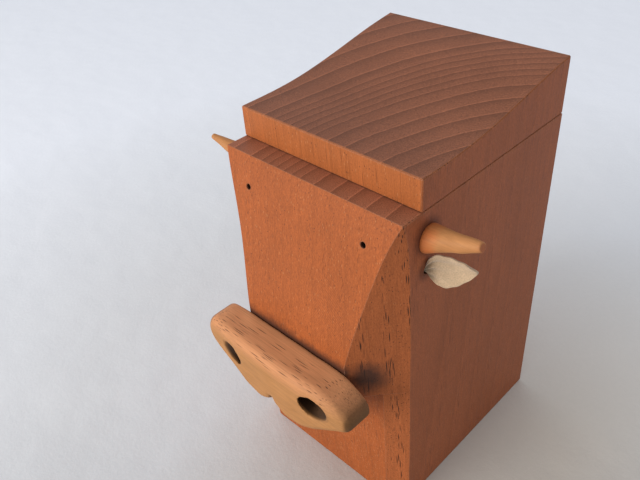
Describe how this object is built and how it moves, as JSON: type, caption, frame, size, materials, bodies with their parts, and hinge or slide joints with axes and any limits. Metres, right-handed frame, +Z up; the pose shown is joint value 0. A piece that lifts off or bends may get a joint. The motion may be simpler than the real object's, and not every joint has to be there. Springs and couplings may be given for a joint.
{
  "type": "lidded wooden box",
  "caption": "Hardwood keepsake box shaped as an ox head: hollow block, lift-off lid, glued muzzle plank, peg horns, suede ears.",
  "frame": {"origin": "middle of the footprint of the whole object, on the surface it stands on", "axes": "+Z up, the head faces -Y, +X is the right-hand side for someone who looks the head in the face"},
  "size_m": [0.1049, 0.1034, 0.1427],
  "materials": {
    "block_wood": "sanded, thin oil",
    "plug_wood": "sanded",
    "muzzle_wood": "sanded, thin oil",
    "dowel_wood": "raw",
    "horn_wood": "sanded, thin oil",
    "ear_suede": "undyed suede"
  },
  "bodies": {
    "block": {"body": "block_wood", "muzzle": "muzzle_wood", "muzzle_dowel_left": "dowel_wood", "muzzle_dowel_right": "dowel_wood", "horn_left": "horn_wood", "horn_right": "horn_wood", "ear_left": "ear_suede", "ear_right": "ear_suede"},
    "lid": {"lid": "block_wood", "lid_plug": "plug_wood"}
  },
  "joints": [
    {"name": "lid_lift", "type": "slide", "parent": "block", "child": "lid", "axis": [0, 0, 1], "range_m": [0, 0.06]}
  ]
}
